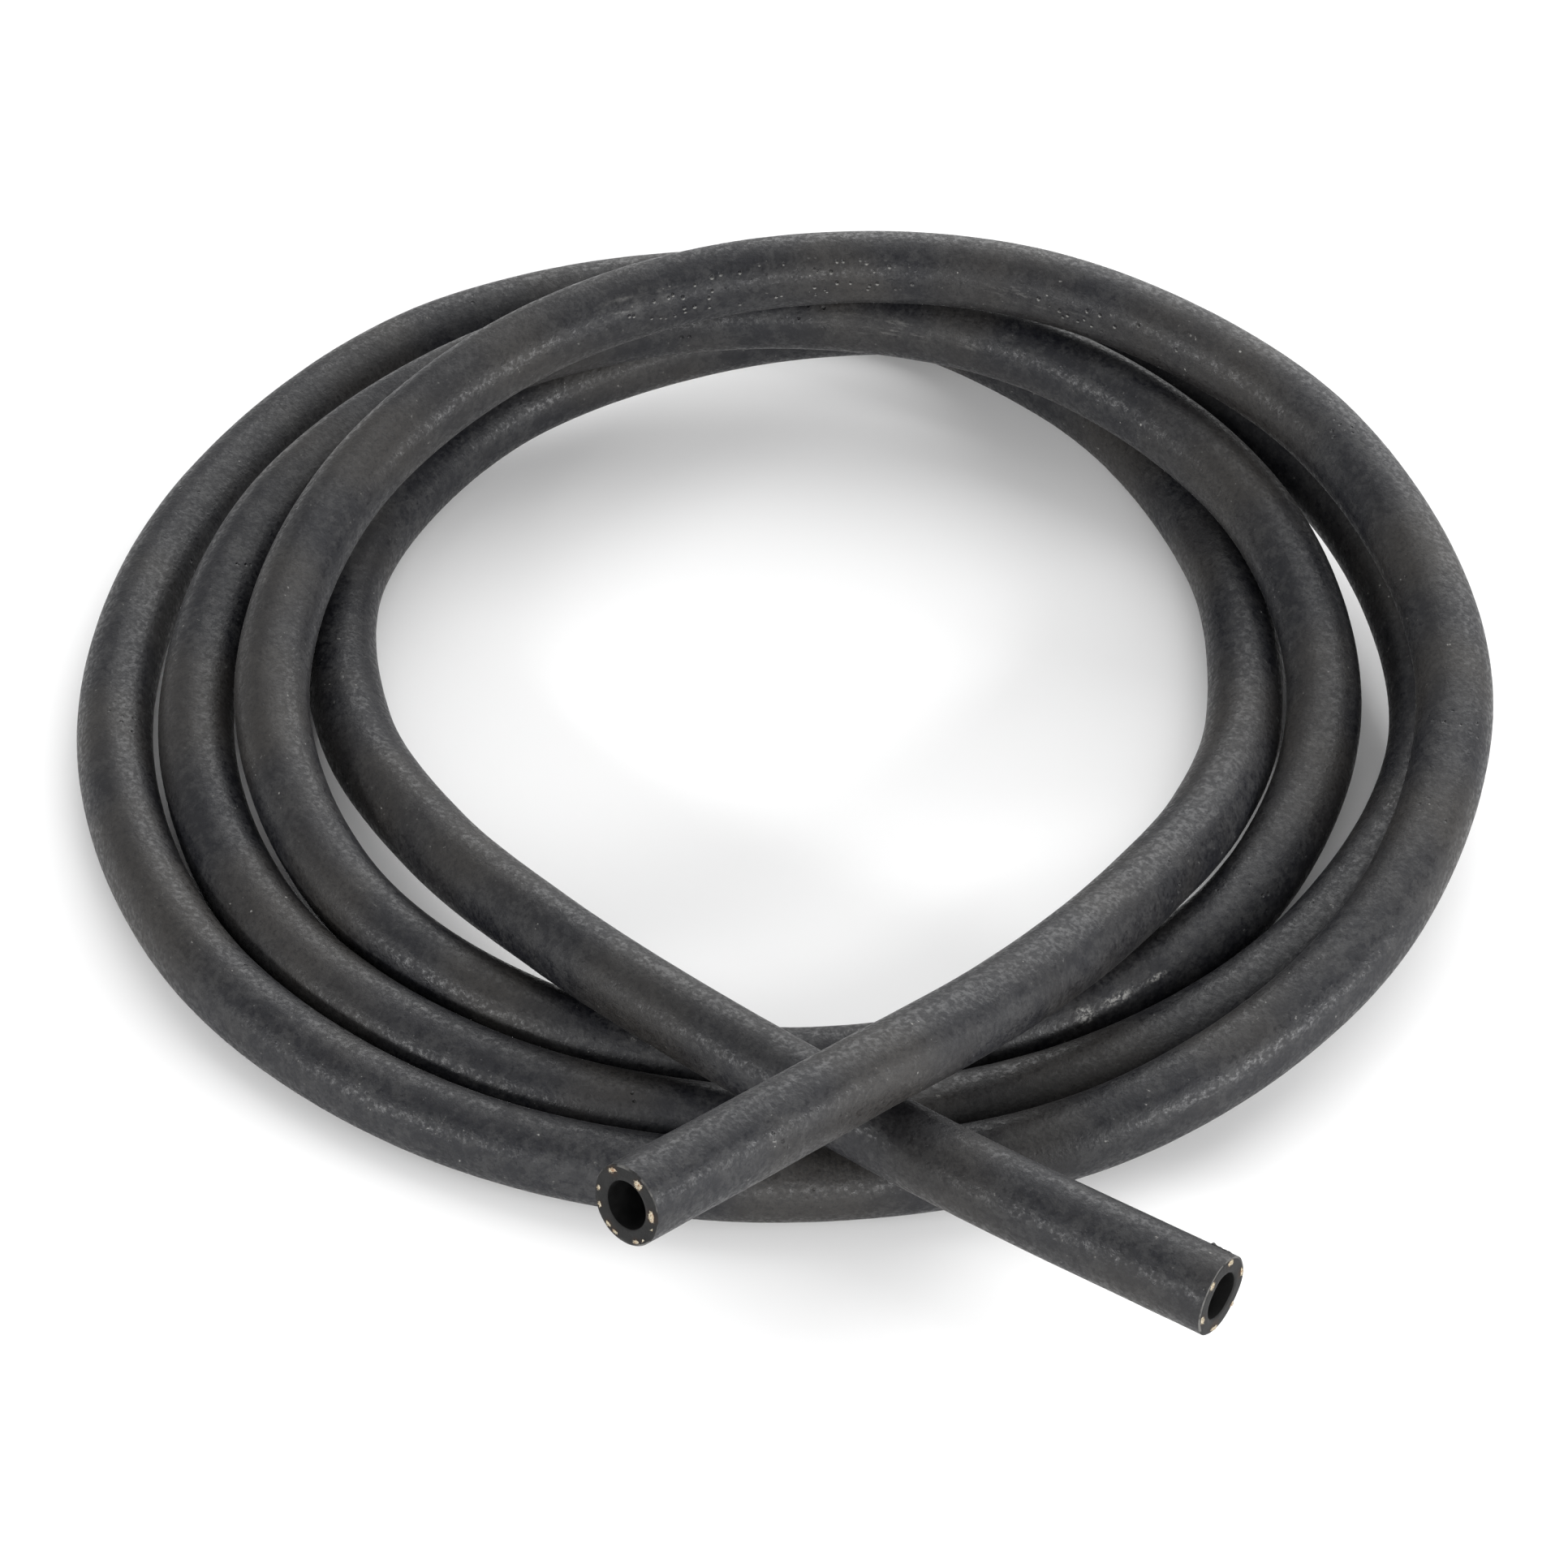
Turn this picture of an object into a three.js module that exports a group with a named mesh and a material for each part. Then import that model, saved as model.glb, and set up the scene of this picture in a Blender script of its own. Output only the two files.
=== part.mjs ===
// Water pump hose: one length of textile-reinforced rubber hose, loosely coiled on the floor.
// Units are millimetres and +Z is up. The hose lies on Z = 0, with the middle of its outline on the Z axis.
// Seen from the front, +X is to the right and +Y leads away from the viewer.
import * as THREE from "three";

// The hose's own section
const outerDiameter = 17;
const wallThickness = 3.5;
const outerSides = 16;
const boreSides = 12;

// The coil: its turns lie about this far from the middle, with a thin gap between hoses that touch
const coilRadius = 120;
const contactGap = 0.35;

// The swept solid has one section for each step of this many hose diameters
const stepInDiameters = 1.75;

// The centre line's length is measured over this many short chords
const measuringChords = 2000;

// How far apart the middles of two hoses are that lie against each other
const lay = outerDiameter + contactGap;

// Each turn passes one station in every twelfth of a circle, anticlockwise from the right-hand side.
// A lane is a place counted in hoses outward from the coil radius, and a layer is one counted in
// hoses up from the floor. The first turn leads on from tail one, and the last one into tail two.
const stationsInTurn = 12;
const turns = [
  {
    lanes: [-0.93, -0.1, 1.23, 2.63, 2.82, 2.25, 1.77, 1.41, 1.09, 1.02, 1.28, 1.55],
    layers: [0.23, 0.03, 0.01, 0, 0, 0, 0, 0, 0.02, 0.1, 0.3, 0.7],
  },
  {
    lanes: [1.7, 1.32, 0.5, -0.09, -0.24, -0.25, -0.32, -0.6, -0.92, -0.97, -0.8, -0.33],
    layers: [1.22, 1.85, 2.38, 2.38, 2, 1.4, 0.77, 0.3, 0.04, 0, 0.03, 0.14],
  },
  {
    lanes: [0.1, 0.32, 0.25, 0.27, 0.55, 0.83, 0.69, 0.4, 0.08, 0.03, 0.22, 0.72],
    layers: [0.5, 0.95, 1.36, 1.38, 1.2, 0.75, 0.3, 0.05, 0, 0, 0, 0.04],
  },
  {
    lanes: [1.45, 1.57, 1.2, 0.93, 0.6, -0.26, -1.36, -1.9],
    layers: [0.2, 0.68, 1, 0.62, 0.2, 0.05, 0.2, 0.5],
  },
];

// The stations of the two free tails: bearing in degrees from the right-hand side, lane and layer
const tailOne = [
  [-99, 4.2, 3],
  [-84, 1.54, 2.37],
  [-69, 0.14, 1.77],
  [-54, -0.67, 1.3],
  [-39, -1.07, 0.96],
  [-22, -1.15, 0.61],
];
const tailTwo = [
  [238, -1.6, 0.86],
  [255, -0.9, 1.03],
  [270, 0.25, 1.13],
  [283, 2.1, 1.23],
  [294.8, 5, 1.3],
];

// The point of the centre line at a station
function stationPoint(bearing, lane, layer) {
  const angle = THREE.MathUtils.degToRad(bearing);
  const radius = coilRadius + lane * lay;
  const height = outerDiameter / 2 + layer * lay;
  return new THREE.Vector3(radius * Math.cos(angle), radius * Math.sin(angle), height);
}

// The points of all the turns, from the first station of the first one
function coilPoints() {
  const points = [];
  for (const { lanes, layers } of turns) {
    lanes.forEach((lane, index) => {
      points.push(stationPoint((360 * index) / stationsInTurn, lane, layers[index]));
    });
  }
  return points;
}

// The hose's centre line from the cut end of tail one to the cut end of tail two
function centreLine() {
  const tailPoints = (tail) => tail.map((place) => stationPoint(...place));
  const line = new THREE.CatmullRomCurve3([...tailPoints(tailOne), ...coilPoints(), ...tailPoints(tailTwo)]);
  line.arcLengthDivisions = measuringChords;
  return line;
}

// A regular polygon with its corners on the circle and a flat side at the bottom
function drawPolygon(outline, radius, sides) {
  for (let corner = 0; corner < sides; corner++) {
    const angle = ((corner + 0.5) * 2 * Math.PI) / sides;
    const x = radius * Math.cos(angle);
    const y = radius * Math.sin(angle);
    if (corner === 0) {
      outline.moveTo(x, y);
    } else {
      outline.lineTo(x, y);
    }
  }
  outline.closePath();
  return outline;
}

// The ring of rubber that the hose shows where it is cut
function hoseSection() {
  const outerRadius = outerDiameter / 2;
  const section = drawPolygon(new THREE.Shape(), outerRadius, outerSides);
  section.holes.push(drawPolygon(new THREE.Path(), outerRadius - wallThickness, boreSides));
  return section;
}

// The hose as one solid with an open bore, lying on the floor about the origin
function hoseGeometry() {
  const line = centreLine();
  const steps = Math.ceil(line.getLength() / (stepInDiameters * outerDiameter));
  const geometry = new THREE.ExtrudeGeometry(hoseSection(), { steps, extrudePath: line, bevelEnabled: false });
  geometry.computeBoundingBox();
  const { min, max } = geometry.boundingBox;
  return geometry.translate(-(min.x + max.x) / 2, -(min.y + max.y) / 2, -min.z);
}

const rubber = new THREE.MeshStandardMaterial({ color: 0x2d2d2f, roughness: 0.75, metalness: 0 });

const hose = new THREE.Mesh(hoseGeometry(), rubber);
hose.name = "hose";

const waterPumpHose = new THREE.Group();
waterPumpHose.add(hose);

export default waterPumpHose;
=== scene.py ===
"""A length of textile-reinforced rubber water hose, loosely coiled on a pale studio floor.

The hose is one moulded piece. This script gives it its skin, its two cut faces, the ends of the
reinforcing yarns that show on them and a torn lip of rubber beside one cut, and lights it.
"""
import logging
import math
from dataclasses import dataclass, field
from enum import Enum
from typing import Callable

import bmesh
import bpy
import numpy as np
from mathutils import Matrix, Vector, noise


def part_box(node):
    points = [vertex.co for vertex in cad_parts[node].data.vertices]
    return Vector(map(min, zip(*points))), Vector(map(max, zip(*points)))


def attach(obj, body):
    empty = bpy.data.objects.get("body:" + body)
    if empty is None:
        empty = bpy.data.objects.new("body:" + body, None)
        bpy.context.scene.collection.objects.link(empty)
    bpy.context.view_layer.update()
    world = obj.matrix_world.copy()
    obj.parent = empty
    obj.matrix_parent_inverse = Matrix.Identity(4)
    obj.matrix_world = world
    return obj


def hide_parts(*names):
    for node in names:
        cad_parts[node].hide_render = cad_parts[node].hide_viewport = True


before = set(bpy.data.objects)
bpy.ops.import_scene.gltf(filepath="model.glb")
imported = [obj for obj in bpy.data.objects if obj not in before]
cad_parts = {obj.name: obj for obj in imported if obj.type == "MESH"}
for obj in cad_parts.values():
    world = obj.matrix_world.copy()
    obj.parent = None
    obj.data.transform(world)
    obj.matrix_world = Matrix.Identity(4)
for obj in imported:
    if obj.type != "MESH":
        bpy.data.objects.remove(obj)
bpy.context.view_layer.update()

MILLIMETRE = 0.001
NODE = "hose"
BODY = "root"

Colour = tuple[float, float, float, float]

log = logging.getLogger("hose")


class Slot(Enum):
    """The material slots of the hose's mesh, in order."""

    SKIN = 0
    CUT = 1
    BORE = 2


class Domain(Enum):
    """The names of the coordinates that the hose's mesh carries for its materials."""

    STRAIGHT = "hose_straight"
    WRAP = "hose_wrap"
    STAIN = "hose_stain"


# Route


@dataclass(frozen=True)
class CoilRoute:
    """The hose's centre line: two free tails and the laps between them.

    A lane is a place counted in hoses outward from the coil radius. A layer is one counted in hoses
    up from the floor. Each lap passes one station in every twelfth of a circle.
    """

    outer_diameter: float = 0.017
    coil_radius: float = 0.120
    contact_gap: float = 0.00035
    stations_in_turn: int = 12
    turns: tuple[tuple, ...] = (
        (
            (-0.93, -0.1, 1.23, 2.63, 2.82, 2.25, 1.77, 1.41, 1.09, 1.02, 1.28, 1.55),
            (0.23, 0.03, 0.01, 0, 0, 0, 0, 0, 0.02, 0.1, 0.3, 0.7),
        ),
        (
            (1.7, 1.32, 0.5, -0.09, -0.24, -0.25, -0.32, -0.6, -0.92, -0.97, -0.8, -0.33),
            (1.22, 1.85, 2.38, 2.38, 2, 1.4, 0.77, 0.3, 0.04, 0, 0.03, 0.14),
        ),
        (
            (0.1, 0.32, 0.25, 0.27, 0.55, 0.83, 0.69, 0.4, 0.08, 0.03, 0.22, 0.72),
            (0.5, 0.95, 1.36, 1.38, 1.2, 0.75, 0.3, 0.05, 0, 0, 0, 0.04),
        ),
        (
            (1.45, 1.57, 1.2, 0.93, 0.6, -0.26, -1.36, -1.9),
            (0.2, 0.68, 1, 0.62, 0.2, 0.05, 0.2, 0.5),
        ),
    )
    tail_one: tuple[tuple, ...] = (
        (-99, 4.2, 3),
        (-84, 1.54, 2.37),
        (-69, 0.14, 1.77),
        (-54, -0.67, 1.3),
        (-39, -1.07, 0.96),
        (-22, -1.15, 0.61),
    )
    tail_two: tuple[tuple, ...] = (
        (238, -1.6, 0.86),
        (255, -0.9, 1.03),
        (270, 0.25, 1.13),
        (283, 2.1, 1.23),
        (294.8, 5, 1.3),
    )
    chords_between_stations: int = 60

    @property
    def outer_radius(self) -> float:
        """Half the hose's outer diameter."""
        return self.outer_diameter / 2

    def station_point(self, bearing: float, lane: float, layer: float) -> np.ndarray:
        """Place one station of the centre line.

        Args:
            bearing: degrees anticlockwise from the right-hand side.
            lane: hoses outward from the coil radius.
            layer: hoses up from the floor.

        Returns:
            The point, in metres.
        """
        spacing = self.outer_diameter + self.contact_gap
        angle = math.radians(bearing)
        radius = self.coil_radius + lane * spacing
        height = self.outer_radius + layer * spacing
        return np.array([radius * math.cos(angle), radius * math.sin(angle), height])

    def station_points(self) -> np.ndarray:
        """Place all the stations, from the cut end of tail one to that of tail two.

        Returns:
            One point for each station, in metres.
        """
        points = [self.station_point(*place) for place in self.tail_one]
        for lanes, layers in self.turns:
            for index, (lane, layer) in enumerate(zip(lanes, layers)):
                bearing = 360 * index / self.stations_in_turn
                points.append(self.station_point(bearing, lane, layer))
        points += [self.station_point(*place) for place in self.tail_two]
        return np.array(points)

    def smooth_line(self) -> np.ndarray:
        """A centripetal Catmull-Rom curve through the stations.

        Returns:
            Closely spaced points along the curve.
        """
        stations = self.station_points()
        before = 2 * stations[0] - stations[1]
        after = 2 * stations[-1] - stations[-2]
        guide = np.vstack([before, stations, after])
        share = np.arange(self.chords_between_stations)[:, None] / self.chords_between_stations
        stretches = []
        for a, b, c, d in zip(guide, guide[1:], guide[2:], guide[3:]):
            gaps = [np.linalg.norm(q - p) ** 0.5 for p, q in ((a, b), (b, c), (c, d))]
            leave = (b - a) / gaps[0] - (c - a) / (gaps[0] + gaps[1]) + (c - b) / gaps[1]
            arrive = (c - b) / gaps[1] - (d - b) / (gaps[1] + gaps[2]) + (d - c) / gaps[2]
            leave, arrive = leave * gaps[1], arrive * gaps[1]
            square = -3 * b + 3 * c - 2 * leave - arrive
            cube = 2 * b - 2 * c + leave + arrive
            stretches.append(b + leave * share + square * share**2 + cube * share**3)
        return np.vstack(stretches + [stations[-1:]])


@dataclass
class CentreLine:
    """The centre line in the part's frame, measured by the length run along it."""

    points: np.ndarray
    run: np.ndarray = field(init=False)

    def __post_init__(self) -> None:
        """Measure the length run at each point."""
        chords = np.linalg.norm(np.diff(self.points, axis=0), axis=1)
        self.run = np.concatenate([[0], np.cumsum(chords)])

    @property
    def length(self) -> float:
        """The hose's whole length."""
        return float(self.run[-1])

    def at(self, run: np.ndarray) -> np.ndarray:
        """The points at the given lengths run."""
        return np.stack([np.interp(run, self.run, self.points[:, axis]) for axis in range(3)], axis=1)

    def frames(self, run: np.ndarray) -> tuple[np.ndarray, np.ndarray, np.ndarray]:
        """Find the directions of the section at each length run.

        Args:
            run: lengths run from the start.

        Returns:
            The unit vectors along the hose, to its right-hand side and to its upper side.
        """
        reach = 0.5 * MILLIMETRE
        ahead = self.at(np.minimum(run + reach, self.length))
        behind = self.at(np.maximum(run - reach, 0))
        along = ahead - behind
        along /= np.linalg.norm(along, axis=1)[:, None]
        side = np.cross(along, [0, 0, 1.0])
        side /= np.linalg.norm(side, axis=1)[:, None]
        return along, side, np.cross(side, along)


# Shader graphs


class Graph:
    """A thin hand on one node tree, so that a graph reads as a list of steps."""

    def __init__(self, tree: bpy.types.NodeTree) -> None:
        """Hold the tree that the steps are added to."""
        self.tree = tree

    def add(self, kind: str, inputs: dict | None = None, **settings: object) -> bpy.types.Node:
        """Add a node.

        Args:
            kind: the node's type name.
            inputs: a value or a socket for each input, by name or by index.
            settings: the node's own properties.

        Returns:
            The new node.
        """
        node = self.tree.nodes.new(kind)
        for name, value in settings.items():
            setattr(node, name, value)
        for key, value in (inputs or {}).items():
            self.feed(node.inputs[key], value)
        return node

    def feed(self, socket: bpy.types.NodeSocket, value: object) -> None:
        """Link a socket to an input, or set the input's own value.

        Args:
            socket: the input.
            value: another node's output socket, or a plain value.
        """
        if isinstance(value, bpy.types.NodeSocket):
            self.tree.links.new(value, socket)
        else:
            socket.default_value = value

    def math(self, operation: str, *values: object, clamp: bool = False) -> bpy.types.NodeSocket:
        """Work out a number from one to three others, and return its socket."""
        inputs = dict(enumerate(values))
        return self.add("ShaderNodeMath", inputs, operation=operation, use_clamp=clamp).outputs[0]

    def times(self, first: object, second: object) -> bpy.types.NodeSocket:
        """Multiply two numbers, and return the product's socket."""
        return self.math("MULTIPLY", first, second)

    def between(self, value: object, low: float, high: float) -> bpy.types.NodeSocket:
        """Turn a value into a smooth mask.

        Args:
            value: the value.
            low: where the mask is 0.
            high: where the mask is 1.

        Returns:
            The socket of the mask.
        """
        inputs = {"Value": value, "From Min": low, "From Max": high}
        node = self.add("ShaderNodeMapRange", inputs, interpolation_type="SMOOTHSTEP")
        return node.outputs["Result"]

    def scaled(self, value: object, low: float, high: float) -> bpy.types.NodeSocket:
        """Turn a value from 0 to 1 into one from low to high."""
        inputs = {"Value": value, "To Min": low, "To Max": high}
        return self.add("ShaderNodeMapRange", inputs).outputs["Result"]

    def mix(self, share: object, first: object, second: object) -> bpy.types.NodeSocket:
        """Mix two colours, and return the mixed colour's socket."""
        node = self.add("ShaderNodeMix", {0: share, 6: first, 7: second}, data_type="RGBA")
        return node.outputs[2]

    def noise(
        self, vector: object, scale: float, detail: float = 2, rough: float = 0.5
    ) -> bpy.types.NodeSocket:
        """A noise from 0 to 1.

        Args:
            vector: the coordinates, in metres.
            scale: patches for each metre.
            detail: how many finer layers it has.
            rough: how strong the finer layers are.

        Returns:
            The socket of its value.
        """
        inputs = {"Vector": vector, "Scale": scale, "Detail": detail, "Roughness": rough}
        return self.add("ShaderNodeTexNoise", inputs).outputs["Fac"]

    def mapped(self, vector: object, scale: tuple, turn: float = 0.0) -> bpy.types.NodeSocket:
        """Stretch coordinates, and turn them about their Z axis by an angle in degrees."""
        turned = self.add("ShaderNodeMapping", {"Vector": vector, "Rotation": (0, 0, math.radians(turn))})
        return self.add("ShaderNodeMapping", {"Vector": turned.outputs[0], "Scale": scale}).outputs[0]

    def attribute(self, domain: Domain) -> bpy.types.NodeSocket:
        """The coordinates that the mesh carries under a name."""
        return self.add("ShaderNodeAttribute", attribute_name=domain.value).outputs["Vector"]

    def bump(
        self, height: object, depth: float, strength: float, under: bpy.types.NodeSocket | None = None
    ) -> bpy.types.NodeSocket:
        """Turn a height into a normal.

        Args:
            height: a height from 0 to 1.
            depth: how far apart 0 and 1 are, in metres.
            strength: the share of the effect that shows.
            under: another bump's normal that this one lies on.

        Returns:
            The socket of the normal.
        """
        inputs = {"Height": height, "Distance": depth, "Strength": strength}
        if under is not None:
            inputs["Normal"] = under
        return self.add("ShaderNodeBump", inputs).outputs["Normal"]


@dataclass(frozen=True)
class Pattern:
    """A noise of so many patches a metre, and the two values that its mask runs between."""

    scale: float
    detail: float
    rough: float
    low: float
    high: float

    def mask(self, graph: Graph, where: bpy.types.NodeSocket) -> bpy.types.NodeSocket:
        """A smooth mask that is 0 where the noise is at the low value and 1 where it is at the high one."""
        value = graph.noise(where, self.scale, self.detail, self.rough)
        return graph.between(value, self.low, self.high)


def shader_group(
    name: str, inputs: dict[str, str], outputs: dict[str, str], build: Callable[[Graph, dict], dict]
) -> bpy.types.NodeTree:
    """Build a shader node group once, for several materials.

    Args:
        name: the group's name.
        inputs: the kind of each input socket, by name.
        outputs: the kind of each output socket, by name.
        build: adds the steps, given the graph and the input sockets, and returns the output sockets.

    Returns:
        The group.
    """
    tree = bpy.data.node_groups.new(name, "ShaderNodeTree")
    for title, kind in inputs.items():
        tree.interface.new_socket(title, in_out="INPUT", socket_type=kind)
    for title, kind in outputs.items():
        tree.interface.new_socket(title, in_out="OUTPUT", socket_type=kind)
    graph = Graph(tree)
    entry = graph.add("NodeGroupInput")
    given = {title: entry.outputs[title] for title in inputs}
    graph.add("NodeGroupOutput", build(graph, given))
    return tree


def mottle_steps(graph: Graph, given: dict) -> dict:
    """Draw patches of two sizes, and a warm cast here and there, as on cured rubber under a fine dusting.

    Args:
        graph: the graph that the nodes are added to.
        given: the group's input sockets by name.

    Returns:
        The group's output sockets by name.
    """
    where = given["Vector"]
    broad = Pattern(85, 3, 0.6, 0.36, 0.66).mask(graph, where)
    small = Pattern(320, 5, 0.68, 0.38, 0.64).mask(graph, where)
    cast = Pattern(24, 2, 0.5, 0.42, 0.66).mask(graph, where)
    blotch = graph.math("ADD", graph.times(broad, 0.38), graph.times(small, 0.62))
    return {"Blotch": blotch, "Cast": cast}


def pit_steps(graph: Graph, given: dict) -> dict:
    """Draw small round holes of uneven size, one in each patch of the unrolled skin.

    Args:
        graph: the graph that the nodes are added to.
        given: the group's input sockets by name.

    Returns:
        The group's output sockets by name.
    """
    where = given["Vector"]
    inputs = {"Vector": where, "Scale": given["Scale"]}
    cells = graph.add("ShaderNodeTexVoronoi", inputs, voronoi_dimensions="2D")
    wide = graph.scaled(graph.noise(where, 240, 1, 0.5), 0.02, 0.30)
    edge = graph.math("DIVIDE", cells.outputs["Distance"], wide)
    return {"Mask": graph.between(edge, 1.0, 0.1)}


@dataclass(frozen=True)
class SharedEffects:
    """The node groups that the rubber materials are built from."""

    mottle: bpy.types.NodeTree
    pits: bpy.types.NodeTree

    @classmethod
    def build(cls) -> "SharedEffects":
        """Make the groups.

        Returns:
            The groups, by the effect that each one gives.
        """
        vector, value = "NodeSocketVector", "NodeSocketFloat"
        patches = {"Blotch": value, "Cast": value}
        mottle = shader_group("rubber_mottle", {"Vector": vector}, patches, mottle_steps)
        spread = {"Vector": vector, "Scale": value}
        pits = shader_group("rubber_pits", spread, {"Mask": value}, pit_steps)
        return cls(mottle, pits)


def new_material(name: str) -> tuple[bpy.types.Material, Graph, bpy.types.Node]:
    """Start a material.

    Args:
        name: the material's name.

    Returns:
        The material, the graph of its nodes and its Principled BSDF.
    """
    material = bpy.data.materials.new(name)
    material.use_nodes = True
    material.node_tree.nodes.clear()
    graph = Graph(material.node_tree)
    shader = graph.add("ShaderNodeBsdfPrincipled")
    graph.add("ShaderNodeOutputMaterial", {"Surface": shader.outputs["BSDF"]})
    return material, graph, shader


@dataclass(frozen=True)
class Mark:
    """A spot on the skin, by how far it is from the start of the hose and round its girth, in metres."""

    run: float
    girth: float
    long: float
    wide: float

    def mask(self, graph: Graph, wrap: bpy.types.NodeSocket) -> bpy.types.NodeSocket:
        """Draw the spot with soft edges.

        Args:
            graph: the graph that the nodes are added to.
            wrap: the unrolled coordinates.

        Returns:
            The socket of a mask that is 1 in the middle of the spot and 0 outside it.
        """
        middle = (self.run, self.girth, 0)
        scale = (1 / self.long, 1 / self.wide, 1)
        moved = graph.add("ShaderNodeVectorMath", {0: wrap, 1: middle}, operation="SUBTRACT")
        squashed = graph.add("ShaderNodeVectorMath", {0: moved.outputs[0], 1: scale}, operation="MULTIPLY")
        gap = graph.add("ShaderNodeVectorMath", {0: squashed.outputs[0]}, operation="LENGTH")
        return graph.between(gap.outputs["Value"], 1.0, 0.3)


@dataclass(frozen=True)
class SkinFinish:
    """The hose's cured outside: matte black rubber with the print of the cloth it was wrapped in.

    Each share says how strongly its effect shows. Depths and the lip highlight's shift are in metres.
    Its colour also holds painted light: shade in the pits and the low spots of the grain, a highlight
    on the pits' lower lips, and bands of shade along both tails.
    """

    effects: SharedEffects
    blue_black: Colour = (0.0045, 0.0048, 0.0072, 1)
    charcoal: Colour = (0.0215, 0.0216, 0.0230, 1)
    warm: Colour = (0.030, 0.027, 0.0235, 1)
    # The pale colour of dusty marks, also used for the painted highlight on the pits' lower lips.
    dust_and_lip_highlight: Colour = (0.30, 0.295, 0.28, 1)
    # Painted shade: the near-black that the pits and the low spots of the grain are made darker towards.
    pit_shade: Colour = (0.006, 0.006, 0.007, 1)
    warm_share: float = 0.6
    weave_share: float = 0.22
    fleck_share: float = 0.50
    shade_band_share: float = 0.45
    dust_and_lip_highlight_share: float = 0.7
    smear_share: float = 0.32
    lip_highlight_share: float = 1.3
    pore_shade_share: float = 0.5
    pit_shade_share: float = 0.35
    pit_gloss: float = 0.2
    dull: float = 0.60
    polished: float = 0.34
    lump_depth: float = 0.30 * MILLIMETRE
    cloth_depth: float = 0.03 * MILLIMETRE
    grain_depth: float = 0.16 * MILLIMETRE
    pit_depth: float = 0.40 * MILLIMETRE
    lip_highlight_shift: tuple[float, ...] = (0.0, 0.00032, 0.0)
    pits_per_metre: float = 300.0
    cloth_turn: float = 38.0
    patchy: Pattern = Pattern(150, 2, 0.6, 0.44, 0.50)
    rare: Pattern = Pattern(50, 2, 0.6, 0.66, 0.72)
    flecks: Pattern = Pattern(600, 4, 0.68, 0.52, 0.60)
    specks: Pattern = Pattern(640, 2, 0.7, 0.69, 0.79)
    dusty: Pattern = Pattern(45, 2, 0.5, 0.42, 0.62)
    torn: Pattern = Pattern(1100, 3, 0.7, 0.44, 0.62)
    worn: Pattern = Pattern(900, 3, 0.6, 0.40, 0.66)
    pitted: tuple[Mark, ...] = (Mark(1.385, 0.0370, 0.050, 0.0065), Mark(1.30, 0.0380, 0.030, 0.004))
    scuffed: tuple[Mark, ...] = (
        Mark(1.7990, 0.0192, 0.0028, 0.0026),
        Mark(1.8070, 0.0197, 0.0050, 0.0016),
        Mark(1.8170, 0.0200, 0.0036, 0.0009),
    )
    smeared: tuple[Mark, ...] = (
        Mark(1.4190, 0.0343, 0.018, 0.0032),
        Mark(2.0820, 0.0360, 0.024, 0.0032),
        Mark(2.0560, 0.0366, 0.010, 0.0016),
        Mark(1.3180, 0.0378, 0.020, 0.0032),
    )
    # Painted shade: a dark band along each tail, standing in for the dark reflection the skin shows where it
    # faces the front of the studio.
    painted_shade_bands: tuple[Mark, ...] = (
        Mark(0.055, 0.0262, 0.080, 0.0036),
        Mark(3.335, 0.0272, 0.085, 0.0036),
    )

    def marked(
        self, graph: Graph, wrap: bpy.types.NodeSocket, marks: tuple[Mark, ...]
    ) -> bpy.types.NodeSocket:
        """Draw several spots as one mask.

        Args:
            graph: the graph that the nodes are added to.
            wrap: the unrolled coordinates.
            marks: the spots.

        Returns:
            The socket of the mask.
        """
        whole = marks[0].mask(graph, wrap)
        for mark in marks[1:]:
            whole = graph.math("MAXIMUM", whole, mark.mask(graph, wrap))
        return whole

    def pit_mask(self, graph: Graph, where: bpy.types.NodeSocket) -> bpy.types.NodeSocket:
        """The pits all over the skin, with their own spacing."""
        inputs = {"Vector": where, "Scale": self.pits_per_metre}
        return graph.add("ShaderNodeGroup", inputs, node_tree=self.effects.pits).outputs["Mask"]

    def holes(
        self, graph: Graph, straight: bpy.types.NodeSocket, wrap: bpy.types.NodeSocket
    ) -> tuple[bpy.types.NodeSocket, bpy.types.NodeSocket]:
        """Keep the pits of the pitted spots and a few elsewhere.

        Args:
            graph: the material's graph.
            straight: the straightened coordinates.
            wrap: the unrolled coordinates.

        Returns:
            The masks of the pits and of the painted highlight on their lower lips.
        """
        pits = self.pit_mask(graph, wrap)
        spots = graph.between(self.marked(graph, wrap, self.pitted), 0.02, 0.5)
        here = graph.times(spots, self.patchy.mask(graph, straight))
        where = graph.math("MAXIMUM", here, self.rare.mask(graph, straight))
        # Painted highlight: a pale crescent just below each of the pits, where the lower wall would catch the
        # light.
        lower = graph.add("ShaderNodeVectorMath", {0: wrap, 1: self.lip_highlight_shift}, operation="SUBTRACT")
        lip = graph.math("SUBTRACT", self.pit_mask(graph, lower.outputs[0]), pits, clamp=True)
        return graph.times(pits, where), graph.times(graph.times(lip, here), self.lip_highlight_share)

    def cloth(self, graph: Graph, wrap: bpy.types.NodeSocket) -> bpy.types.NodeSocket:
        """Draw the print of the wrapping cloth, as two sets of strokes that cross.

        Args:
            graph: the graph that the nodes are added to.
            wrap: the unrolled coordinates.

        Returns:
            The socket of its height, from 0 to 1.
        """
        strokes = graph.noise(graph.mapped(wrap, (1500, 1900, 1), self.cloth_turn), 1, 3, 0.62)
        crossing = graph.noise(graph.mapped(wrap, (1400, 2000, 1), -self.cloth_turn), 1, 2, 0.6)
        return graph.math("ADD", graph.times(strokes, 0.65), graph.times(crossing, 0.35))

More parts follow.
